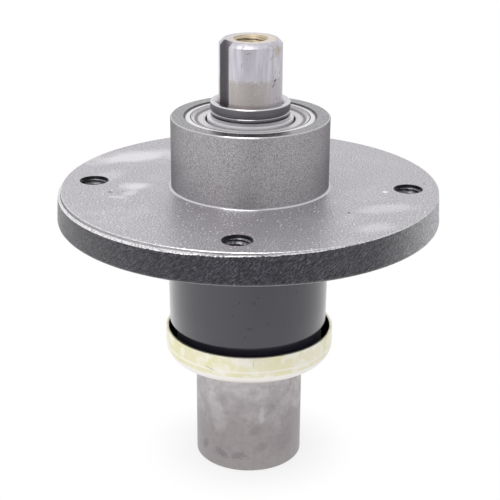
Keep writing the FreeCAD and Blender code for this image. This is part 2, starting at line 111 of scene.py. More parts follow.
facedRing = {
    **turnedHub, "dark": "#5f5d62", "pale": "#adabaf", "metal": 1.0, "edgeTint": (1, 1, 1, 1),
    "smoothest": 0.12, "roughest": 0.26, "glintMm": 0.9, "glintShare": 0.2,
}


def makeTurnedIron(name, finish):
    f = finish
    material, put, place = newMaterial(name)
    radius, _, height = cylinderPlace(put, place)
    grain = put("ShaderNodeTexNoise", {"Vector": place, "Scale": 1 / (f["grainMm"] * mm), "Detail": 2.0,
                                       "Roughness": 0.6})
    cloud = put("ShaderNodeTexNoise", {"Vector": place, "Scale": 1 / (f["cloudMm"] * mm), "Detail": 4.0,
                                       "Distortion": 0.8})
    rings = put("ShaderNodeTexNoise", {"W": put("ShaderNodeMath", [radius, height], operation="ADD"),
                                       "Scale": 1 / (f["ringMm"] * mm), "Detail": 2.0}, noise_dimensions="1D")
    tone = put("ShaderNodeMapRange", [grain, 0.3, 0.7], interpolation_type="SMOOTHSTEP")
    colour = put("ShaderNodeMix", {0: tone, 6: linearColour(f["dark"]), 7: linearColour(f["pale"])}, 2,
                 data_type="RGBA")
    # Pale cloud mottle and wipe marks, the back-left wipe being a painted reflection
    wipeAndPaintedReflection = put("ShaderNodeMapRange", [cloud, 0.5, 0.8, 0.0, f["cloud"]], interpolation_type="SMOOTHSTEP")
    for x, y, turn, long, wide, strength in f["wipesAndPaintedReflection"]:
        near = put("ShaderNodeMapping", {"Vector": place, "Location": (x * mm, y * mm, 0),
                                         "Rotation": (0, 0, math.radians(turn)),
                                         "Scale": (long * mm, wide * mm, 1)}, vector_type="TEXTURE")
        far = put("ShaderNodeVectorMath", [near], "Value", operation="LENGTH")
        frayed = put("ShaderNodeMath", [cloud, f["wipeFray"], far], operation="MULTIPLY_ADD")
        mark = put("ShaderNodeMapRange", [frayed, *f["wipeEdge"], 0.0, strength], interpolation_type="SMOOTHSTEP")
        wipeAndPaintedReflection = put("ShaderNodeMath", [wipeAndPaintedReflection, mark], operation="MAXIMUM")
    colour = put("ShaderNodeMix", {0: wipeAndPaintedReflection, 6: colour, 7: linearColour(f["wipedAndReflectionPale"])}, 2, data_type="RGBA")
    # Dark stain spots, and white dots that are painted highlights
    for places, tint in ((f["spots"], f["stain"]), (f["paintedGlintDots"], f["paintedGlintWhite"])):
        for x, y, size in places:
            far = put("ShaderNodeVectorMath", [place, (x * mm, y * mm, 0)], "Value", operation="DISTANCE")
            spot = put("ShaderNodeMapRange", [far, size * mm, size * mm / 3], interpolation_type="SMOOTHSTEP")
            colour = put("ShaderNodeMix", {0: spot, 6: colour, 7: linearColour(tint)}, 2, data_type="RGBA")
    # Painted highlight: chosen cells are painted white, only on the camera side, and tilted by a bump
    cells = put("ShaderNodeTexVoronoi", {"Vector": place, "Scale": 1 / (f["glintMm"] * mm)}).node.outputs
    chosen = put("ShaderNodeMapRange", [put("ShaderNodeSeparateColor", [cells["Color"]]), 1 - f["glintShare"], 1.0])
    facet = put("ShaderNodeMapRange", [cells["Distance"], *f["glintSizes"]], interpolation_type="SMOOTHSTEP")
    paleAndPaintedHighlight = put("ShaderNodeMapRange", [put("ShaderNodeSeparateXYZ", [place], "Y"), *(y * mm for y in f["glintFront"])],
               interpolation_type="SMOOTHSTEP")
    glint = put("ShaderNodeMath", [put("ShaderNodeMath", [facet, chosen], operation="MULTIPLY"), paleAndPaintedHighlight],
                operation="MULTIPLY")
    colour = put("ShaderNodeMix", {0: glint, 6: colour, 7: (1, 1, 1, 1)}, 2, data_type="RGBA")
    rough = put("ShaderNodeMapRange", [grain, 0.3, 0.75, f["roughest"], f["smoothest"]])
    normal = put("ShaderNodeBump", {"Height": rings, "Distance": f["ringDepth"] * mm, "Strength": 0.5})
    for relief, depth, strength in ((grain, f["grainDepth"], 0.6), (glint, f["glintDepth"], 1.0)):
        normal = put("ShaderNodeBump", {"Height": relief, "Distance": depth * mm, "Strength": strength,
                                        "Normal": normal})
    shader = put("ShaderNodeBsdfPrincipled", {"Base Color": colour, "Metallic": f["metal"], "Roughness": rough,
                                              "Specular Tint": f["edgeTint"], "Normal": normal})
    put("ShaderNodeOutputMaterial", [shader])
    return material


# Turned strip and edges of the rim: bare bright iron, chattered by the tool
bareFinish = {"dark": "#b9b7bb", "pale": "#f2f0f3", "rough": 0.3, "chatterMm": 0.7, "chatterDepth": 0.04}


def makeBareIron():
    f = bareFinish
    material, put, place = newMaterial("bareTurnedEdge")
    chatter = put("ShaderNodeTexNoise", {"Vector": place, "Scale": 1 / (f["chatterMm"] * mm), "Detail": 1.0})
    tone = put("ShaderNodeMapRange", [chatter, 0.3, 0.6], interpolation_type="SMOOTHSTEP")
    colour = put("ShaderNodeMix", {0: tone, 6: linearColour(f["dark"]), 7: linearColour(f["pale"])}, 2,
                 data_type="RGBA")
    bumpy = put("ShaderNodeBump", {"Height": chatter, "Distance": f["chatterDepth"] * mm, "Strength": 0.5})
    shader = put("ShaderNodeBsdfPrincipled", {"Base Color": colour, "Metallic": 1.0, "Roughness": f["rough"],
                                              "Normal": bumpy})
    put("ShaderNodeOutputMaterial", [shader])
    return material


# Marks on a turned, cast or pressed wall: angle, z, slope, half length, half width and strength of each
markEdge = {"fray": 1.6, "outside": 1.7, "inside": 1.2}


def addMarks(put, angle, height, wall, marks, colour, tint, fray):
    unrolled = put("ShaderNodeCombineXYZ", [put("ShaderNodeMath", [angle, wall * mm], operation="MULTIPLY"), height])
    for turn, z, slope, long, wide, strength in marks:
        spot = (math.radians(turn - 360) * wall * mm, z * mm, 0)
        near = put("ShaderNodeMapping", {"Vector": unrolled, "Location": spot, "Rotation": (0, 0, math.radians(slope)),
                                         "Scale": (long * mm, wide * mm, 1)}, vector_type="TEXTURE")
        far = put("ShaderNodeVectorMath", [near], "Value", operation="LENGTH")
        frayed = put("ShaderNodeMath", [fray, markEdge["fray"], far], operation="MULTIPLY_ADD")
        mark = put("ShaderNodeMapRange", [frayed, markEdge["outside"], markEdge["inside"], 0.0, strength],
                   interpolation_type="SMOOTHSTEP")
        colour = put("ShaderNodeMix", {0: mark, 6: colour, 7: linearColour(tint)}, 2, data_type="RGBA")
    return colour


# Satin black paint on sand-cast iron: leathery folds on the rim, painted dark in their grooves as painted shade and
# light on their ridges as painted highlights, smoother hub, sheen at grazing angles, and a pale right side of dust and
# painted reflection
foldLean = 1.1 / 76  # radians round the axis for each mm of height, 1.1 mm at the rim
castRim = {
    "groove": "#040308", "fold": "#645f70", "dustAndSheen": "#eeeef4", "rough": 0.32, "coat": 0.2, "sheen": 0.4,
    "foldMm": 0.52, "foldDepth": 0.7, "stretch": 0.5, "edges": (0.5, 0.6), "lean": foldLean,
    "swirl": foldLean / mm / 12,
    "lip": -12.2, "lipWave": 0.8, "lipFade": 0.5, "lipHighlight": 0.5,  # pale lower edge, a painted highlight
    # paler towards the right and the front: dust and a painted reflection on the grazing right side
    "dustAndSheenSide": (47, 75), "dustAndSheenFront": (25, -10), "dustAndSheenTones": (0.6, 1.35), "wall": 32.6, "pits": [],
}
castHub = {
    **castRim, "groove": "#0e0d11", "fold": "#32303c", "dustAndSheen": "#32303c", "coat": 0.95, "sheen": 0.35,
    "foldMm": 1.5, "foldDepth": 0.015, "stretch": 1.0, "edges": (0.29, 0.36), "lean": 0.0, "swirl": 0.0,
    "lip": -1000.0,  # none
    "pits": [(277.9, -38.2, 0, 1.0, 0.8, 0.9), (274.2, -49.2, 0, 1.1, 0.9, 0.9), (271.2, -52.9, 0, 0.9, 0.8, 0.8),
             (309.5, -35.8, 0, 1.0, 0.9, 0.9), (266.9, -38.0, 0, 0.9, 0.7, 0.8), (280.3, -35.8, 0, 0.8, 0.7, 0.7),
             (262.8, -43.7, 0, 0.8, 0.6, 0.7), (275.9, -41.7, 0, 0.8, 0.6, 0.6)],
}


def makeCastPaint(name, finish):
    f = finish
    material, put, place = newMaterial(name)
    across, along, height = put("ShaderNodeSeparateXYZ", [place]).node.outputs
    twist = put("ShaderNodeMath", [height, -f["lean"] / mm], operation="MULTIPLY")
    twisted = put("ShaderNodeVectorRotate", {"Vector": place, "Angle": twist}, rotation_type="Z_AXIS")
    drawn = put("ShaderNodeMapping", {"Vector": twisted, "Scale": (1.0, 1.0, f["stretch"])})
    fold = put("ShaderNodeTexNoise", {"Vector": drawn, "Scale": 1 / (f["foldMm"] * mm), "Detail": 3.0,
                                      "Roughness": 0.65, "Distortion": f["swirl"]})
    # Painted shade and highlight: the grooves of the folds are painted dark and their ridges light
    tone = put("ShaderNodeMapRange", [fold, *f["edges"]], interpolation_type="SMOOTHSTEP")
    colour = put("ShaderNodeMix", {0: tone, 6: linearColour(f["groove"]), 7: linearColour(f["fold"])}, 2,
                 data_type="RGBA")
    wavy = put("ShaderNodeMath", [fold, f["lipWave"] * mm, height], operation="MULTIPLY_ADD")
    lip = put("ShaderNodeMapRange", [wavy, (f["lip"] + f["lipFade"]) * mm, f["lip"] * mm, 0.0, f["lipHighlight"]])
    colour = put("ShaderNodeMix", {0: lip, 6: colour, 7: linearColour(f["dustAndSheen"])}, 2, data_type="RGBA")
    angle = put("ShaderNodeMath", [along, across], operation="ARCTAN2")
    colour = addMarks(put, angle, height, f["wall"], f["pits"], colour, f["groove"], fold)
    # Dust and painted reflection: paler towards the right side and the camera side
    dustAndSheenShare = put("ShaderNodeMapRange", [across, *(x * mm for x in f["dustAndSheenSide"])])
    dustAndSheenShare = put("ShaderNodeMath", [dustAndSheenShare, 2.0], operation="POWER")
    front = put("ShaderNodeMapRange", [along, *(y * mm for y in f["dustAndSheenFront"]), 0.1, 1.0])
    for share in (front, put("ShaderNodeMapRange", [tone, 0.0, 1.0, *f["dustAndSheenTones"]])):
        dustAndSheenShare = put("ShaderNodeMath", [dustAndSheenShare, share], operation="MULTIPLY")
    colour = put("ShaderNodeMix", {0: dustAndSheenShare, 6: colour, 7: linearColour(f["dustAndSheen"])}, 2, data_type="RGBA")
    lumpy = put("ShaderNodeBump", {"Height": fold, "Distance": f["foldDepth"] * mm, "Strength": 1.0})
    shader = put("ShaderNodeBsdfPrincipled", {"Base Color": colour, "Roughness": f["rough"], "Normal": lumpy,
                                              "Coat Weight": f["coat"], "Coat Roughness": 0.15,
                                              "Sheen Weight": f["sheen"], "Sheen Roughness": 0.3})
    put("ShaderNodeOutputMaterial", [shader])
    return material


# Ground and turned shaft steel: soft streaked stub, warm film low on it, rust at the bolt mouth, dull smudged blade end
# that is darker towards the bottom as painted shade
shaftFinish = {
    "dark": "#c2bfc8", "pale": "#d6d3db", "rough": 0.42, "streakMm": 1.3, "streakStretch": 0.1, "streakDepth": 0.008,
    "grainMm": 0.7, "cloudMm": 8.0, "mottleMm": 2.4, "speckMm": 1.0,
    "film": "#b3aca8", "filmWave": 5.0, "filmEdge": (48.6, 46.6), "filmSide": (5, 11), "filmLeast": 0.35,
    "rust": "#f0e4cc", "rustMouth": (11.2, 8.5), "rustSide": (-9, 2), "rustFoot": (58.6, 59.4), "rustMost": 0.95,
    "speck": "#5d5348", "speckSide": (0, 11), "speckShares": (0.2, 0.27), "speckFade": 0.04, "speckMost": 0.8,
    "stubWall": 12.5, "stain": "#a89d80", "pit": "#3f3c3a",
    "stains": [(332.0, 56.6, -15, 5.0, 2.2, 0.45), (322.0, 54.6, 15, 4.0, 1.1, 0.3)],
    "pits": [(322.5, 44.9, 40, 1.3, 0.6, 0.85), (318.5, 43.1, 55, 1.0, 0.45, 0.8), (325.0, 48.5, 70, 1.2, 0.25, 0.5),
             (258.0, 51.5, 80, 1.3, 0.3, 0.35), (269.0, 56.3, 10, 1.1, 0.3, 0.4), (260.0, 58.5, 60, 0.9, 0.35, 0.5)],
    "dullBelow": -50.0, "dullRough": 0.46, "dullPale": "#d0cbcc", "dullDark": "#a59fa0", "dullFall": (-76, -119),
    "mottle": "#837e80", "mottleMost": 0.25, "footWall": 22.2, "smear": "#dedadb", "smudge": "#767173",
    "smears": [(236.0, -93.0, 107, 13.0, 6.5, 0.3), (288.1, -93.1, 90, 6.0, 1.5, 0.3)],
    "smudges": [(219.2, -111.5, 60, 4.0, 2.2, 0.45), (243.6, -112.3, -30, 4.8, 2.6, 0.45),
                (263.0, -112.3, 20, 4.8, 2.6, 0.45), (288.4, -108.1, 30, 4.8, 3.0, 0.25),
                (280.9, -100.3, 45, 3.8, 2.6, 0.25), (316.0, -107.5, 30, 9.0, 7.0, 0.2),
                (300.8, -87.1, 80, 9.0, 4.5, 0.18)],
}


def makeShaftSteel():
    f = shaftFinish
    material, put, place = newMaterial("groundShaftSteel")
    across = put("ShaderNodeSeparateXYZ", [place])
    radius, angle, height = cylinderPlace(put, place)
    drawn = put("ShaderNodeMapping", {"Vector": place, "Scale": (1.0, 1.0, f["streakStretch"])})
    streak = put("ShaderNodeTexNoise", {"Vector": drawn, "Scale": 1 / (f["streakMm"] * mm), "Detail": 2.0})
    grain, cloud, mottle, dirt = (
        put("ShaderNodeTexNoise", {"Vector": place, "Scale": 1 / (f[size] * mm), "Detail": detail})
        for size, detail in (("grainMm", 2.0), ("cloudMm", 3.0), ("mottleMm", 2.0), ("speckMm", 1.0)))
    tone = put("ShaderNodeMapRange", [streak, 0.35, 0.7], interpolation_type="SMOOTHSTEP")
    colour = put("ShaderNodeMix", {0: tone, 6: linearColour(f["dark"]), 7: linearColour(f["pale"])}, 2,
                 data_type="RGBA")
    wavy = put("ShaderNodeMath", [grain, f["filmWave"] * mm, height], operation="MULTIPLY_ADD")
    film = put("ShaderNodeMapRange", [wavy, *(z * mm for z in f["filmEdge"])], interpolation_type="SMOOTHSTEP")
    patchy = put("ShaderNodeMapRange", [grain, 0.3, 0.7, 1.0, 0.65])
    for share in (patchy, put("ShaderNodeMapRange", [across, *(x * mm for x in f["filmSide"]), 1.0, f["filmLeast"]])):
        film = put("ShaderNodeMath", [film, share], operation="MULTIPLY")
    colour = put("ShaderNodeMix", {0: film, 6: colour, 7: linearColour(f["film"])}, 2, data_type="RGBA")
    rusty = put("ShaderNodeMapRange", [radius, *(r * mm for r in f["rustMouth"]), 0.0, f["rustMost"]],
                interpolation_type="SMOOTHSTEP")
    blotch = put("ShaderNodeMapRange", [grain, 0.35, 0.6, 0.3, 1.0], interpolation_type="SMOOTHSTEP")
    for share in (blotch, put("ShaderNodeMapRange", [across, *(x * mm for x in f["rustSide"]), 0.45, 1.0]),
                  put("ShaderNodeMapRange", [height, *(z * mm for z in f["rustFoot"])])):
        rusty = put("ShaderNodeMath", [rusty, share], operation="MULTIPLY")
    colour = put("ShaderNodeMix", {0: rusty, 6: colour, 7: linearColour(f["rust"])}, 2, data_type="RGBA")
    limit = put("ShaderNodeMapRange", [across, *(x * mm for x in f["speckSide"]), *f["speckShares"]])
    clear = put("ShaderNodeMath", [dirt, limit], operation="SUBTRACT")
    specks = put("ShaderNodeMapRange", [clear, f["speckFade"], 0.0, 0.0, f["speckMost"]])
    colour = put("ShaderNodeMix", {0: specks, 6: colour, 7: linearColour(f["speck"])}, 2, data_type="RGBA")
    for marks, tint in (("stains", "stain"), ("pits", "pit")):
        colour = addMarks(put, angle, height, f["stubWall"], f[marks], colour, f[tint], grain)
    # Painted shade: the blade end darkens towards the bottom, mixed with cloudy smudges
    lowShade = put("ShaderNodeMapRange", [height, *(z * mm for z in f["dullFall"])])
    smudgeAndLowShade = put("ShaderNodeMapRange", [put("ShaderNodeMath", [cloud, lowShade], operation="ADD"), 0.3, 1.1],
                interpolation_type="SMOOTHSTEP")
    dull = put("ShaderNodeMix", {0: smudgeAndLowShade, 6: linearColour(f["dullPale"]), 7: linearColour(f["dullDark"])}, 2,
               data_type="RGBA")
    dim = put("ShaderNodeMapRange", [mottle, 0.4, 0.75, 0.0, f["mottleMost"]], interpolation_type="SMOOTHSTEP")
    dull = put("ShaderNodeMix", {0: dim, 6: dull, 7: linearColour(f["mottle"])}, 2, data_type="RGBA")
    for marks, tint, fray in (("smears", "smear", cloud), ("smudges", "smudge", grain)):
        dull = addMarks(put, angle, height, f["footWall"], f[marks], dull, f[tint], fray)
    foot = put("ShaderNodeMath", [height, f["dullBelow"] * mm], operation="LESS_THAN")
    colour = put("ShaderNodeMix", {0: foot, 6: colour, 7: dull}, 2, data_type="RGBA")
    rough = put("ShaderNodeMapRange", [foot, 0.0, 1.0, f["rough"], f["dullRough"]])
    scored = put("ShaderNodeBump", {"Height": streak, "Distance": f["streakDepth"] * mm, "Strength": 0.4})
    shader = put("ShaderNodeBsdfPrincipled", {"Base Color": colour, "Metallic": 1.0, "Roughness": rough,
                                              "Normal": scored})
    put("ShaderNodeOutputMaterial", [shader])
    return material


# Yellow passivated zinc on pressed steel: straw that drifts to green and pales in patches, white on the bend as a
# painted reflection and along the crease as a painted highlight
zincFinish = {
    "straw": "#f4efda", "green": "#ebe7bf", "paleAndPaintedHighlight": "#fdfaf6", "scratch": "#6b6553", "metal": 0.8,
    "rough": 0.3, "bendRough": 0.5, "tintMm": 20.0, "patchMm": 5.0, "wave": 1.2, "wall": 34.75,
    "bendHighlight": -69.7, "bendFade": 0.4, "crease": -67.3, "creaseHalf": (0.6, 0.1), "creaseHighlight": 0.75,
    "scratches": [(248.2, -67.2, -12, 4.8, 0.16, 0.8), (277.0, -63.8, 90, 1.8, 0.14, 0.5)],
}


def makeZincPlate():
    f = zincFinish
    material, put, place = newMaterial("yellowZincPlate")
    _, angle, height = cylinderPlace(put, place)
    tint = put("ShaderNodeTexNoise", {"Vector": place, "Scale": 1 / (f["tintMm"] * mm)})
    patch = put("ShaderNodeTexNoise", {"Vector": place, "Scale": 1 / (f["patchMm"] * mm), "Detail": 3.0})
    greenish = put("ShaderNodeMapRange", [tint, 0.35, 0.65], interpolation_type="SMOOTHSTEP")
    colour = put("ShaderNodeMix", {0: greenish, 6: linearColour(f["straw"]), 7: linearColour(f["green"])}, 2,
                 data_type="RGBA")
    thin = put("ShaderNodeMapRange", [patch, 0.48, 0.62, 0.0, 0.6], interpolation_type="SMOOTHSTEP")
    colour = put("ShaderNodeMix", {0: thin, 6: colour, 7: linearColour(f["paleAndPaintedHighlight"])}, 2, data_type="RGBA")
    # Painted reflection on the bend and painted highlight along the crease: both are made pale
    level = put("ShaderNodeMath", [patch, f["wave"] * mm, height], operation="MULTIPLY_ADD")
    bend, crease = f["bendHighlight"] + f["wave"] / 2, f["crease"] + f["wave"] / 2
    bent = put("ShaderNodeMapRange", [level, (bend + f["bendFade"]) * mm, (bend - f["bendFade"]) * mm],
               interpolation_type="SMOOTHSTEP")
    off = put("ShaderNodeMath", [put("ShaderNodeMath", [level, crease * mm], operation="SUBTRACT")],
              operation="ABSOLUTE")
    creased = put("ShaderNodeMapRange", [off, *(half * mm for half in f["creaseHalf"]), 0.0, f["creaseHighlight"]],
                  interpolation_type="SMOOTHSTEP")
    paleAndPaintedHighlight = put("ShaderNodeMath", [bent, creased], operation="MAXIMUM")
    colour = put("ShaderNodeMix", {0: paleAndPaintedHighlight, 6: colour, 7: linearColour(f["paleAndPaintedHighlight"])}, 2, data_type="RGBA")
    colour = addMarks(put, angle, height, f["wall"], f["scratches"], colour, f["scratch"], patch)
    rough = put("ShaderNodeMapRange", [bent, 0.0, 1.0, f["rough"], f["bendRough"]])
    shader = put("ShaderNodeBsdfPrincipled", {"Base Color": colour, "Metallic": f["metal"], "Roughness": rough})
    put("ShaderNodeOutputMaterial", [shader])
    return material


# Ground, pressed or cut steel and iron: shiny, with tool rings drawn coarser than the real feed so that they show,
# and with painted shade as dark rings in its seams
steelMarks = {"ringMm": 0.35, "ringDepth": 0.01, "ringShade": "#39373a", "oil": "#1f1e21"}
ringedSteels = {  # colour of the dark and the pale rings, roughness, and painted shade rings as radius, half width, strength
    "groundRaceSteel": {"low": "#e2e0e3", "high": "#faf8fb", "rough": 0.46, "metal": 0.45,
                        "paintedShadeRings": [(23.7, 0.4, 0.9), (17.8, 0.3, 0.9)]},
    "pressedShieldSteel": {"low": "#bbb9bc", "high": "#f2f0f3", "rough": 0.4, "metal": 0.55,
                           "paintedShadeRings": [(23.6, 0.5, 0.9), (21.5, 0.9, 0.75), (17.9, 0.35, 0.9)]},
    "polishedCollarSteel": {"low": "#c8c6ca", "high": "#dad8dc", "rough": 0.24},
    "blackenedCollarSteel": {"low": "#6e6c70", "high": "#7e7c80", "rough": 0.28},
    "wornCollarSteel": {"low": "#9c9a9e", "high": "#b2b0b4", "rough": 0.16},
    "oiledThreadIron": {"low": "#5a595d", "high": "#88878b", "rough": 0.36, "oilyAbove": -1.15},
    # darker in the keyway recess
    "darkerKeywaySteel": {"low": "#9a989c", "high": "#bab8bc", "rough": 0.45},
    "rustyThreadSteel": {"low": "#a29179", "high": "#e4d8bf", "rough": 0.5},
    "burnishedIronEdge": {"low": "#bfbdc1", "high": "#d6d4d8", "rough": 0.2},
    # dark bore mouth next to the bearing, painted shade in the seam
    "shadedSeamIron": {"low": "#4a494d", "high": "#5c5b5f", "rough": 0.4},
    # inside of the cup: grime and painted shade in the gap under the hub
    "grimeAndShadeZincInside": {"low": "#23211d", "high": "#38342d", "rough": 0.5},
}


def makeRingedSteel(name, low, high, rough, paintedShadeRings=(), metal=1.0, oilyAbove=1000.0):
    material, put, place = newMaterial(name)
    radius, _, height = cylinderPlace(put, place)
    rings = put("ShaderNodeTexNoise", {"W": put("ShaderNodeMath", [radius, height], operation="ADD"),
                                       "Scale": 1 / (steelMarks["ringMm"] * mm), "Detail": 2.0},
                noise_dimensions="1D")
    tone = put("ShaderNodeMapRange", [rings, 0.3, 0.7], interpolation_type="SMOOTHSTEP")
    colour = put("ShaderNodeMix", {0: tone, 6: linearColour(low), 7: linearColour(high)}, 2, data_type="RGBA")
    # Painted shade: dark rings where the races, shield and collar meet
    for seam, half, strength in paintedShadeRings:
        off = put("ShaderNodeMath", [put("ShaderNodeMath", [radius, seam * mm], operation="SUBTRACT")],
                  operation="ABSOLUTE")
        ringShade = put("ShaderNodeMapRange", [off, half * mm, half * mm / 3, 0.0, strength],
                    interpolation_type="SMOOTHSTEP")
        colour = put("ShaderNodeMix", {0: ringShade, 6: colour, 7: linearColour(steelMarks["ringShade"])}, 2, data_type="RGBA")
    oily = put("ShaderNodeMath", [height, oilyAbove * mm], operation="GREATER_THAN")
    colour = put("ShaderNodeMix", {0: oily, 6: colour, 7: linearColour(steelMarks["oil"])}, 2, data_type="RGBA")
    ringed = put("ShaderNodeBump", {"Height": rings, "Distance": steelMarks["ringDepth"] * mm, "Strength": 0.3})
    shader = put("ShaderNodeBsdfPrincipled", {"Base Color": colour, "Metallic": metal, "Roughness": rough,
                                              "Normal": ringed})
    put("ShaderNodeOutputMaterial", [shader])
    return material


def finishMesh(piece, sharpAngle=30):
    piece.data.shade_smooth()
    piece.data.set_sharp_from_angle(angle=math.radians(sharpAngle))


def addObject(name, mesh):
    piece = bpy.data.objects.new(name, mesh)
    bpy.context.scene.collection.objects.link(piece)
    return piece


def applied(piece):
    bpy.context.view_layer.update()
    graph = bpy.context.evaluated_depsgraph_get()
    mesh = bpy.data.meshes.new_from_object(piece.evaluated_get(graph))
    piece.modifiers.clear()
    piece.data = mesh


# Thread plugs: threaded rods with a countersunk mouth, set round a circle, that cut the tapped holes
def makeThreadTree():
    tree = bpy.data.node_groups.new("threadPlugs", "GeometryNodeTree")
    sockets = {}
    for name, kind in (("Count", "NodeSocketInt"), ("Rows", "NodeSocketInt"), ("Circle Radius", "NodeSocketFloat"),
                       ("Minor Radius", "NodeSocketFloat"), ("Major Radius", "NodeSocketFloat"),
                       ("Mouth Radius", "NodeSocketFloat"), ("Pitch", "NodeSocketFloat"),
                       ("Length", "NodeSocketFloat"), ("Overshoot", "NodeSocketFloat"),
                       ("Mouth Height", "NodeSocketFloat"), ("Facing", "NodeSocketFloat"),
                       ("Finish", "NodeSocketMaterial")):
        sockets[name] = tree.interface.new_socket(name, in_out="INPUT", socket_type=kind).identifier
    tree.interface.new_socket("Geometry", in_out="OUTPUT", socket_type="NodeSocketGeometry")
    put = partial(addNode, tree)
    calc = partial(put, "ShaderNodeMath")
    given = put("NodeGroupInput").node.outputs
    rod = put("GeometryNodeMeshCylinder", {"Vertices": 48, "Side Segments": given["Rows"], "Radius": 1.0,
                                           "Depth": given["Length"]}, fill_type="NGON")
    x, y, z = put("ShaderNodeSeparateXYZ", [put("GeometryNodeInputPosition")]).node.outputs
    turns = calc([calc([y, x], operation="ARCTAN2"), 2 * math.pi], operation="DIVIDE")
    climb = calc([calc([z, given["Pitch"]], operation="DIVIDE"), turns], operation="SUBTRACT")
    wave = calc([calc([climb], operation="FRACT"), 2.0, -1.0], operation="MULTIPLY_ADD")
    depth = calc([given["Major Radius"], given["Minor Radius"]], operation="SUBTRACT")
    thread = calc([calc([wave], operation="ABSOLUTE"), depth, given["Minor Radius"]], operation="MULTIPLY_ADD")
    top = calc([calc([given["Length"], 0.5], operation="MULTIPLY"), given["Overshoot"]], operation="SUBTRACT")
    sink = calc([given["Mouth Radius"], calc([top, z], operation="SUBTRACT")], operation="SUBTRACT")
    reach = calc([thread, sink], operation="MAXIMUM")
    shaped = put("ShaderNodeCombineXYZ", [calc([x, reach], operation="MULTIPLY"),
                                          calc([y, reach], operation="MULTIPLY"), z])
    rod = put("GeometryNodeSetPosition", {"Geometry": rod, "Position": shaped})
    drop = put("ShaderNodeCombineXYZ", {"Z": calc([top, -1.0], operation="MULTIPLY")})
    rod = put("GeometryNodeTransform", {"Geometry": rod, "Translation": drop})
    tip = calc([calc([1.0, given["Facing"]], operation="SUBTRACT"), math.pi / 2], operation="MULTIPLY")
    rod = put("GeometryNodeTransform", {"Geometry": rod, "Rotation": put("ShaderNodeCombineXYZ", {"X": tip})})
    share = calc([put("GeometryNodeInputIndex"), given["Count"]], operation="DIVIDE")
    around = calc([share, 2 * math.pi], operation="MULTIPLY")
    where = put("ShaderNodeCombineXYZ", [
        calc([calc([around], operation="COSINE"), given["Circle Radius"]], operation="MULTIPLY"),
        calc([calc([around], operation="SINE"), given["Circle Radius"]], operation="MULTIPLY"), given["Mouth Height"]])
    points = put("GeometryNodePoints", {"Count": given["Count"], "Position": where})
    plugs = put("GeometryNodeInstanceOnPoints", {"Points": points, "Instance": rod})
    solid = put("GeometryNodeRealizeInstances", {"Geometry": plugs})
    put("NodeGroupOutput", [put("GeometryNodeSetMaterial", {"Geometry": solid, "Material": given["Finish"]})])
    return tree, sockets


def threadPlugs(tree, sockets, sizes):
    plugs = addObject("threadPlugs", bpy.data.meshes.new("threadPlugs"))
    maker = plugs.modifiers.new("threads", "NODES")
    maker.node_group = tree
    for name, given in sizes.items():
        maker[sockets[name]] = given
    applied(plugs)
    return plugs


def cutAway(piece, cutter):
    cut = piece.modifiers.new("cut", "BOOLEAN")
    cut.object = cutter
    cut.operation = "DIFFERENCE"
    cut.solver = "EXACT"
    cut.material_mode = "TRANSFER"
    applied(piece)
    bpy.data.objects.remove(cutter)


housing = {  # mm, z from the flange's turned face
    "coarse": 288, "fineFactor": 4, "pilotRadius": 31.75, "pilotHeight": 28.9, "seatRadius": 26.01,
    "boreRadius": 22.0, "edge": 0.5, "pilotRoot": 0.8, "faceRadius": 75.8, "rimTaper": 22.0, "castOffset": -0.6,
    "rimRadius": 76.4, "rimDraft": 3.0, "rimRound": 1.5, "flange": 12.8, "hubRadius": 32.5, "hubRootRadius": 32.98,
    "hubRoot": 5.0, "hubStep": -58.6, "hubRound": 1.2, "noseRadius": 30.2, "end": -71.1, "upperShoulder": 13.5,
    "lowerShoulder": -55.7, "faceRings": (45.0, 56.0, 71.0), "underRings": (66.0, 52.0), "fineInset": 2.0,
    "rimBands": 28, "skinDepth": 0.2, "skinMm": 0.95, "skinStretch": 0.4, "skinWarp": 0.6, "warpMm": 4.0,
    "lumpDepth": 0.08, "lumpMm": 6.0, "edgeBreak": 0.25, "breakMost": 0.4, "stripDepth": 2.1, "stripLeast": 0.35,
    "stripShare": 0.62, "stripBack": 0.2, "stripRight": 0.1, "stripLean": 0.35, "skinSeed": 7,
}


def castSkin(spot):
    h = housing
    spun = Matrix.Rotation(-foldLean * spot.z, 3, "Z") @ spot
    warp = noise.noise_vector(spot / h["warpMm"]) * h["skinWarp"]
    fold = 1 - abs(noise.noise(Vector((spun.x, spun.y, spun.z * h["skinStretch"])) / h["skinMm"] + warp))
    lump = 0.5 + 0.5 * noise.noise(spot / h["lumpMm"])
    return h["skinDepth"] * (1 - fold) + h["lumpDepth"] * lump


def castRadius(angle, radius):
    off = housing["castOffset"]
    return off * math.cos(angle) + math.sqrt(radius ** 2 - (off * math.sin(angle)) ** 2)


def rimPoint(angle, depth):
    h = housing
    drafted = castRadius(angle, h["rimRadius"] + depth * math.tan(math.radians(h["rimDraft"])))
    spot = Vector((drafted * math.cos(angle), drafted * math.sin(angle), -depth))
    return drafted - castSkin(spot)


def taperFoot(angle):
    h = housing
    slope = math.tan(math.radians(h["rimTaper"]))
    low, high = 0.0, 6.0
    for _ in range(12):  # halvings
        depth = (low + high) / 2
        if h["faceRadius"] + depth * slope < rimPoint(angle, depth):
            low = depth
        else:
            high = depth
    return max(low, h["stripLeast"])


def arcCorners(centreR, centreZ, radius, startDeg, endDeg, steps):
    angles = [math.radians(startDeg + (endDeg - startDeg) * i / steps) for i in range(steps + 1)]
    return [(centreR + radius * math.cos(a), centreZ + radius * math.sin(a)) for a in angles]


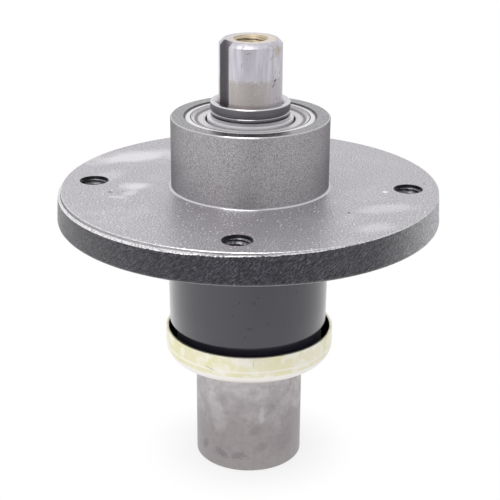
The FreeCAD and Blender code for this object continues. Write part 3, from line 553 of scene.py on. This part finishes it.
def housingRows():
    h = housing
    turned, cast, bare, hub, ringed, smooth, seam, burnished = range(8)  # in the order that makeHousing gets them
    coarse = [2 * math.pi * i / h["coarse"] for i in range(h["coarse"])]
    fine = [2 * math.pi * i / (h["coarse"] * h["fineFactor"]) for i in range(h["coarse"] * h["fineFactor"])]
    rows = []  # points round the axis, and the finish of the band that follows them

    def ring(radius, height, finish, angles=coarse, offAxis=False):
        reach = [castRadius(a, radius) if offAxis else radius for a in angles]
        rows.append(([(r * math.cos(a), r * math.sin(a), height) for r, a in zip(reach, angles)], finish))

    ring(h["seatRadius"] + h["edge"], h["pilotHeight"], ringed)
    ring(h["pilotRadius"] - h["edge"], h["pilotHeight"], burnished)
    ring(h["pilotRadius"] - h["edge"] / 2, h["pilotHeight"] - h["edge"] / 2, hub)
    ring(h["pilotRadius"], h["pilotHeight"] - h["edge"], hub)
    for r, z in arcCorners(h["pilotRadius"] + h["pilotRoot"], h["pilotRoot"], h["pilotRoot"], 180, 270, 4):
        ring(r, z, burnished)
    rows[-1] = (rows[-1][0], turned)
    for r in h["faceRings"]:
        ring(r, 0.0, turned)
    ring(h["faceRadius"] - h["fineInset"], 0.0, turned, fine)
    feet = [min(taperFoot(a), h["stripDepth"]) for a in fine]
    strip = [[], [], [], []]  # face edge, foot of the edge break, start of the bright lower lip, foot
    for a, foot in zip(fine, feet):
        edge, lip = min(h["faceRadius"], rimPoint(a, 0.0)), rimPoint(a, foot)
        broken = min(h["edgeBreak"], foot * h["breakMost"])
        share = h["stripShare"] + h["stripBack"] * math.sin(a) - h["stripRight"] * math.cos(a)
        depth = broken + (foot - broken) * share
        wall = edge + (lip - edge) * share * h["stripLean"]
        for row, r, d in zip(strip, (edge - broken, edge, wall, lip), (0.0, broken, depth, foot)):
            row.append((r * math.cos(a), r * math.sin(a), -d))
    rows.extend(zip(strip, (bare, hub, bare, cast)))
    draft = math.tan(math.radians(h["rimDraft"]))
    roundTop = h["flange"] - h["rimRound"] * (1 - math.sin(math.radians(h["rimDraft"])))
    for band in range(1, h["rimBands"] + 1):
        depths = [d + (roundTop - d) * band / h["rimBands"] for d in feet]
        rows.append(([(rimPoint(a, d) * math.cos(a), rimPoint(a, d) * math.sin(a), -d)
                      for d, a in zip(depths, fine)], cast))
    roundR = h["rimRadius"] + roundTop * draft - h["rimRound"] * math.cos(math.radians(h["rimDraft"]))
    for r, z in arcCorners(roundR, h["rimRound"] - h["flange"], h["rimRound"], h["rimDraft"], -90, 6)[1:]:
        tilt = max((r - roundR) / h["rimRound"], 0.0)
        points = []
        for a in fine:
            reach = castRadius(a, r)
            reach -= castSkin(Vector((reach * math.cos(a), reach * math.sin(a), z))) * tilt
            points.append((reach * math.cos(a), reach * math.sin(a), z))
        rows.append((points, cast))
    for r in h["underRings"]:
        ring(r, -h["flange"], cast, coarse, True)
    rootZ = -h["flange"] - h["hubRoot"]
    for r, z in arcCorners(h["hubRootRadius"] + h["hubRoot"], rootZ, h["hubRoot"], 90, 180, 8):
        ring(r, z, smooth, coarse, True)
    for share in (0.25, 0.5, 0.75):
        ring(h["hubRootRadius"] + (h["hubRadius"] - h["hubRootRadius"]) * share,
             rootZ + (h["hubStep"] + h["hubRound"] - rootZ) * share, smooth, coarse, True)
    for r, z in arcCorners(h["hubRadius"] - h["hubRound"], h["hubStep"] + h["hubRound"], h["hubRound"], 0, -90, 5):
        ring(r, z, smooth, coarse, True)
    ring(h["noseRadius"], h["hubStep"], smooth)
    ring(h["noseRadius"], h["end"] + h["edge"], smooth)
    for r, z in ((h["noseRadius"] - h["edge"], h["end"]),
                 (h["seatRadius"] + h["edge"], h["end"]), (h["seatRadius"], h["end"] + h["edge"]),
                 (h["seatRadius"], h["lowerShoulder"]), (h["boreRadius"], h["lowerShoulder"]),
                 (h["boreRadius"], h["upperShoulder"]), (h["seatRadius"], h["upperShoulder"]),
                 (h["seatRadius"], h["pilotHeight"] - h["edge"])):
        ring(r, z, turned)
    # Painted shade: the bore's mouth chamfer next to the bearing is dark iron
    rows[-1] = (rows[-1][0], seam)
    return rows


def makeHousing(*finishesOfRows):
    noise.seed_set(housing["skinSeed"])  # else Blender seeds the folds by the clock
    rows = housingRows()
    verts, faces, finishes, starts = [], [], [], []
    for points, _ in rows:
        starts.append(len(verts))
        verts.extend((x * mm, y * mm, z * mm) for x, y, z in points)
    for index, (points, finish) in enumerate(rows):
        after = (index + 1) % len(rows)
        here, there = len(points), len(rows[after][0])
        steps = min(here, there)
        for step in range(steps):
            upper = [starts[index] + (step * (here // steps) + i) % here for i in range(here // steps + 1)]
            lower = [starts[after] + (step * (there // steps) + i) % there for i in range(there // steps + 1)]
            faces.append(upper[::-1] + lower)
            finishes.append(finish)
    mesh = bpy.data.meshes.new("housingShell")
    mesh.from_pydata(verts, [], faces)
    mesh.polygons.foreach_set("material_index", finishes)
    for finish in finishesOfRows:
        mesh.materials.append(finish)
    return addObject("housingShell", mesh)


shaftSizes = {  # mm
    "segments": 160, "top": 59.7, "stubRadius": 12.5, "chamfer": 1.7, "softEdge": 0.1, "stubFoot": 35.5,
    "journalRadius": 12.7, "footTop": -74.3, "footRadius": 22.225, "footEdge": 0.8, "end": -119.6,
    "coreRadius": 4.0, "keyWidth": 6.35, "keyFloor": 9.5, "keyEnd": 32.2, "keyAngle": 217.0, "keySteps": 16,
    "keyOver": 2.0, "keyOut": 3.0,
}


def spunPiece(name, profile, closed, *finishes):
    count = shaftSizes["segments"]
    turns = [2 * math.pi * i / count for i in range(count)]
    verts = [(r * math.cos(a) * mm, r * math.sin(a) * mm, z * mm) for r, z, _ in profile for a in turns]
    faces, bands = [], []
    for row in range(len(profile) if closed else len(profile) - 1):
        here, there = row * count, (row + 1) % len(profile) * count
        faces += [(here + i, there + i, there + (i + 1) % count, here + (i + 1) % count) for i in range(count)]
        bands += [profile[row][2]] * count
    if not closed:
        faces += [tuple(range(count)), tuple(reversed(range(len(verts) - count, len(verts))))]
        bands += [0, 0]
    mesh = bpy.data.meshes.new(name)
    mesh.from_pydata(verts, [], faces)
    mesh.polygons.foreach_set("material_index", bands)
    for finish in finishes:
        mesh.materials.append(finish)
    return addObject(name, mesh)


def makeShaft(steel):
    s = shaftSizes
    soft = s["softEdge"]
    slant = soft * math.sqrt(0.5)
    shoulder, chamferFoot = s["stubRadius"] - s["chamfer"], s["top"] - s["chamfer"]
    heel, heelTop = s["footRadius"] - s["footEdge"], s["end"] + s["footEdge"]
    profile = [(s["coreRadius"], s["top"]), (shoulder - soft, s["top"]), (shoulder + slant, s["top"] - slant),
               (s["stubRadius"] - slant, chamferFoot + slant), (s["stubRadius"], chamferFoot - soft),
               (s["stubRadius"], s["stubFoot"]), (s["journalRadius"], s["stubFoot"]),
               (s["journalRadius"], s["footTop"]), (heel, s["footTop"]),
               (s["footRadius"], s["footTop"] - s["footEdge"]), (s["footRadius"], heelTop + soft),
               (s["footRadius"] - slant, heelTop - slant), (heel + slant, s["end"] + slant), (heel - soft, s["end"]),
               (s["coreRadius"], s["end"])]
    return spunPiece("keyedShaft", [(r, z, 0) for r, z in profile], False, steel)


# Top collar: radius, height and finish of the band below; blackened land, worn ledge and a groove over the bearing
collarProfile = [(14.15, 35.2, 0), (15.48, 35.2, 0), (15.86, 34.82, 1), (15.86, 31.9, 1),
                 (15.7, 31.7, 1), (15.3, 31.6, 2), (15.82, 31.05, 2), (15.84, 30.85, 1), (15.66, 30.4, 1),
                 (15.3, 30.3, 1), (15.3, 29.95, 1), (15.84, 29.75, 0), (15.84, 28.8, 0), (15.55, 28.5, 0),
                 (12.75, 28.5, 0), (12.75, 33.8, 0)]


# Dust cup: bright outside, inside painted dark as grime and painted shade
cupSizes = {  # mm
    "wall": 34.75, "rim": -60.8, "bottom": -74.3, "bend": 6.5, "sheet": 1.2, "rimRound": 0.4, "bore": 12.75,
}


def cupProfile():
    c = cupSizes
    middle, low, edge = c["wall"] - c["bend"], c["bottom"] + c["bend"], c["rim"] - c["rimRound"]
    outside = arcCorners(c["wall"] - c["sheet"] + c["rimRound"], edge, c["rimRound"], 180, 90, 4)
    outside += arcCorners(c["wall"] - c["rimRound"], edge, c["rimRound"], 90, 0, 4)
    outside += arcCorners(middle, low, c["bend"], 0, -90, 24)
    inside = [(c["bore"], c["bottom"]), (c["bore"], c["bottom"] + c["sheet"])]
    inside += arcCorners(middle, low, c["bend"] - c["sheet"], -90, 0, 12)
    return [(r, z, 0) for r, z in outside] + [(r, z, 1) for r, z in inside]


def keywayCutter(finish):
    s = shaftSizes
    half = s["keyWidth"] / 2
    outline = [(half, s["top"] + s["keyOver"]), (-half, s["top"] + s["keyOver"])]
    for step in range(s["keySteps"] + 1):
        around = math.pi * step / s["keySteps"]
        outline.append((-half * math.cos(around), s["keyEnd"] - half * math.sin(around)))
    turn = math.radians(s["keyAngle"])
    verts = [((u * math.cos(turn) - v * math.sin(turn)) * mm, (u * math.sin(turn) + v * math.cos(turn)) * mm, z * mm)
             for u in (s["keyFloor"], s["stubRadius"] + s["keyOut"]) for v, z in outline]
    count = len(outline)
    faces = [tuple(range(count)), tuple(reversed(range(count, 2 * count)))]
    faces += [(i, count + i, count + (i + 1) % count, (i + 1) % count) for i in range(count)]
    mesh = bpy.data.meshes.new("keywayCutter")
    mesh.from_pydata(verts, [], faces)
    tidy = bmesh.new()
    tidy.from_mesh(mesh)
    bmesh.ops.recalc_face_normals(tidy, faces=tidy.faces)
    tidy.to_mesh(mesh)
    tidy.free()
    mesh.materials.append(finish)
    return addObject("keywayCutter", mesh)


flangeThread = {"Count": 4, "Rows": 96, "Circle Radius": 63.5 * mm, "Minor Radius": 4.7 * mm,
                "Major Radius": 5.56 * mm, "Mouth Radius": 5.9 * mm, "Pitch": 1.814 * mm, "Length": 14.9 * mm,
                "Overshoot": 1.0 * mm, "Mouth Height": 0.0, "Facing": 1.0}
pulleyThread = {"Count": 1, "Rows": 240, "Circle Radius": 0.0, "Minor Radius": 5.76 * mm,
                "Major Radius": 6.35 * mm, "Mouth Radius": 6.8 * mm, "Pitch": 1.27 * mm, "Length": 37.0 * mm,
                "Overshoot": 1.0 * mm, "Mouth Height": shaftSizes["top"] * mm, "Facing": 1.0}
bladeThread = {"Count": 1, "Rows": 200, "Circle Radius": 0.0, "Minor Radius": 6.76 * mm,
               "Major Radius": 7.94 * mm, "Mouth Radius": 8.3 * mm, "Pitch": 2.309 * mm, "Length": 49.0 * mm,
               "Overshoot": 1.0 * mm, "Mouth Height": shaftSizes["end"] * mm, "Facing": -1.0}


def dressNode(node, material):
    nodes[node].data.materials.clear()
    nodes[node].data.materials.append(material)


faceIron = makeTurnedIron("turnedCastIronFace", turnedFace)
hubIron = makeTurnedIron("turnedCastIronHub", turnedHub)
ringIron = makeTurnedIron("facedCastIronRing", facedRing)
bareIron = makeBareIron()
rimPaint = makeCastPaint("blackPaintOnSandCastRim", castRim)
hubPaint = makeCastPaint("blackPaintOnCastHub", castHub)
shaftSteel = makeShaftSteel()
zincPlate = makeZincPlate()
steels = {name: makeRingedSteel(name, **finish) for name, finish in ringedSteels.items()}
print("materials made")

threadTree, threadSockets = makeThreadTree()
shell = makeHousing(faceIron, rimPaint, bareIron, hubIron, ringIron, hubPaint, steels["shadedSeamIron"],
                    steels["burnishedIronEdge"])
cutAway(shell, threadPlugs(threadTree, threadSockets, {**flangeThread, "Finish": steels["oiledThreadIron"]}))
finishMesh(shell)
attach(shell, "housing")
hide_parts("spindle_housing")
print("housing made", len(shell.data.polygons))

shaft = makeShaft(shaftSteel)
cutAway(shaft, keywayCutter(steels["darkerKeywaySteel"]))
cutAway(shaft, threadPlugs(threadTree, threadSockets, {**pulleyThread, "Finish": steels["rustyThreadSteel"]}))
cutAway(shaft, threadPlugs(threadTree, threadSockets, {**bladeThread, "Finish": steels["oiledThreadIron"]}))
finishMesh(shaft)
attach(shaft, "shaft")
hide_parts("spindle_shaft")
print("shaft made", len(shaft.data.polygons))

collar = spunPiece("topCollar", collarProfile, True, steels["polishedCollarSteel"], steels["blackenedCollarSteel"],
                   steels["wornCollarSteel"])
finishMesh(collar)
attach(collar, "shaft")
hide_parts("top_collar")
print("collar made", len(collar.data.polygons))

cup = spunPiece("dustCup", cupProfile(), True, zincPlate, steels["grimeAndShadeZincInside"])
finishMesh(cup)
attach(cup, "shaft")
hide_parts("dust_cup")
print("cup made", len(cup.data.polygons))

for node in nodes:
    if "race" in node:
        dressNode(node, steels["groundRaceSteel"])
    elif "shield" in node or "cage" in node:
        dressNode(node, steels["pressedShieldSteel"])
    elif node == "lower_collar" or "balls" in node or "spacer" in node:
        dressNode(node, steels["polishedCollarSteel"])
print("nodes dressed")

view = {"distance": 0.510101, "height": 0.169639, "pitch": 21.208, "azimuth": 4.0, "roll": 0.33,
        "focalPixels": 1330.487, "centreX": 249.606, "imageWidth": 500.0}


def makeCamera():
    data = bpy.data.cameras.new("productCamera")
    data.sensor_width = 36.0
    data.lens = view["focalPixels"] / view["imageWidth"] * data.sensor_width
    data.shift_x = (view["imageWidth"] / 2 - view["centreX"]) / view["imageWidth"]
    camera = bpy.data.objects.new("productCamera", data)
    turn = math.radians(view["azimuth"])
    camera.location = (view["distance"] * math.sin(turn), -view["distance"] * math.cos(turn), view["height"])
    aim = Euler((math.radians(90 - view["pitch"]), 0, turn)).to_matrix()
    camera.rotation_euler = (aim @ Matrix.Rotation(math.radians(view["roll"]), 3, "Z")).to_euler()
    bpy.context.scene.collection.objects.link(camera)
    bpy.context.scene.camera = camera


# White tent, dimmer on the right and on the camera's side, with one softbox over the front left
studio = {
    "left": 1.03, "right": 0.86, "fill": 0.9, "cameraSide": 0.25, "patchEdge": 0.88, "patchCore": 0.99,
    "topPower": 1.8, "topPlace": (-0.14, -0.38, 0.69), "topSize": (0.45, 0.5),
}


def makeLight(name, place, aim, size, power):
    data = bpy.data.lights.new(name, "AREA")
    data.shape = "RECTANGLE"
    data.size, data.size_y = size
    data.energy = power
    lamp = bpy.data.objects.new(name, data)
    lamp.location = place
    lamp.rotation_euler = (Vector(aim) - Vector(place)).to_track_quat("-Z", "Y").to_euler()
    bpy.context.scene.collection.objects.link(lamp)


def makeStudio():
    world = bpy.data.worlds.new("whiteTent")
    bpy.context.scene.world = world
    world.use_nodes = True
    world.node_tree.nodes.clear()
    put = partial(addNode, world.node_tree)
    rays = put("ShaderNodeLightPath").node.outputs
    way = put("ShaderNodeTexCoord", out="Generated")
    walls = put("ShaderNodeMapRange", [put("ShaderNodeSeparateXYZ", [way]), -1.0, 1.0, studio["left"],
                                       studio["right"]])
    towards = (0.0, -math.cos(math.radians(view["pitch"])), math.sin(math.radians(view["pitch"])))
    facing = put("ShaderNodeVectorMath", [way, towards], "Value", operation="DOT_PRODUCT")
    opening = put("ShaderNodeMapRange", [facing, studio["patchEdge"], studio["patchCore"], 1.0, studio["cameraSide"]],
                  interpolation_type="SMOOTHSTEP")
    tent = put("ShaderNodeMath", [walls, opening], operation="MULTIPLY")
    fill = put("ShaderNodeMapRange", [rays["Is Diffuse Ray"], 0.0, 1.0, 1.0, studio["fill"]])
    lit = put("ShaderNodeBackground", [(1, 1, 1, 1), put("ShaderNodeMath", [tent, fill], operation="MULTIPLY")])
    white = put("ShaderNodeBackground", [(1, 1, 1, 1), 1.0])
    put("ShaderNodeOutputWorld", [put("ShaderNodeMixShader", [rays["Is Camera Ray"], lit, white])])
    makeLight("topSoftbox", studio["topPlace"], (0, 0, 0), studio["topSize"], studio["topPower"])


# Pale floor: white to the camera with the part's shadow, and in reflections a lit table with a dark gap
floorSizes = {  # m and degrees
    "half": 1.5, "colour": "#f4f4f4", "fadeSide": (-0.12, 0.12), "darkSide": (-0.15, 0.02), "sides": 0.7,
    "gap": 0.22, "gapAngle": -80.0, "gapHalf": 22.0, "panelStart": (0.27, 0.33), "panelEnd": (0.45, 0.41),
    "shadowRadii": (0.02, 0.05), "shadowShare": 0.78,
}


def makeFloor():
    f = floorSizes
    low, half = cadBox[0][2], f["half"]
    mesh = bpy.data.meshes.new("paleFloor")
    mesh.from_pydata([(-half, -half, low), (half, -half, low), (half, half, low), (-half, half, low)], [],
                     [(0, 1, 2, 3)])
    floor = addObject("paleFloor", mesh)
    material, put, place = newMaterial("paleFloor")
    across, along, _ = put("ShaderNodeSeparateXYZ", [place]).node.outputs
    radius, angle, _ = cylinderPlace(put, place)
    rays = put("ShaderNodeLightPath").node.outputs
    paint = put("ShaderNodeBsdfDiffuse", [linearColour(f["colour"])])
    fade = put("ShaderNodeMapRange", [across, *f["fadeSide"], studio["left"], studio["right"]])
    side = put("ShaderNodeMapRange", [along, *f["darkSide"], 1.0, f["sides"]])
    off = put("ShaderNodeMath", [angle, math.radians(f["gapAngle"])], operation="SUBTRACT")
    off = put("ShaderNodeMath", [off], operation="ABSOLUTE")
    gap = put("ShaderNodeMapRange", [off, 0.0, math.radians(f["gapHalf"]), f["gap"], 1.0],
              interpolation_type="SMOOTHSTEP")
    outer = put("ShaderNodeMath", [put("ShaderNodeMapRange", [radius, *f["panelStart"]]),
                                   put("ShaderNodeMapRange", [radius, *f["panelEnd"]])], operation="MULTIPLY")
    panel = put("ShaderNodeMix", {0: outer, 2: 1.0, 3: put("ShaderNodeMath", [side, gap], operation="MULTIPLY")})
    fade = put("ShaderNodeMath", [fade, panel], operation="MULTIPLY")
    fade = put("ShaderNodeMath", [fade, rays["Is Camera Ray"]], operation="MAXIMUM")
    glow = put("ShaderNodeEmission", [(1, 1, 1, 1), fade])
    far = put("ShaderNodeMapRange", [radius, *f["shadowRadii"], f["shadowShare"], 1.0],
              interpolation_type="SMOOTHSTEP")
    seen = put("ShaderNodeMath", [far, rays["Is Camera Ray"]], operation="MULTIPLY")
    seen = put("ShaderNodeMath", [seen, rays["Is Glossy Ray"]], operation="MAXIMUM")
    put("ShaderNodeOutputMaterial", [put("ShaderNodeMixShader", [seen, paint, glow])])
    mesh.materials.append(material)


makeCamera()
makeStudio()
makeFloor()
bpy.context.scene.view_settings.view_transform = "Standard"
print("studio made")
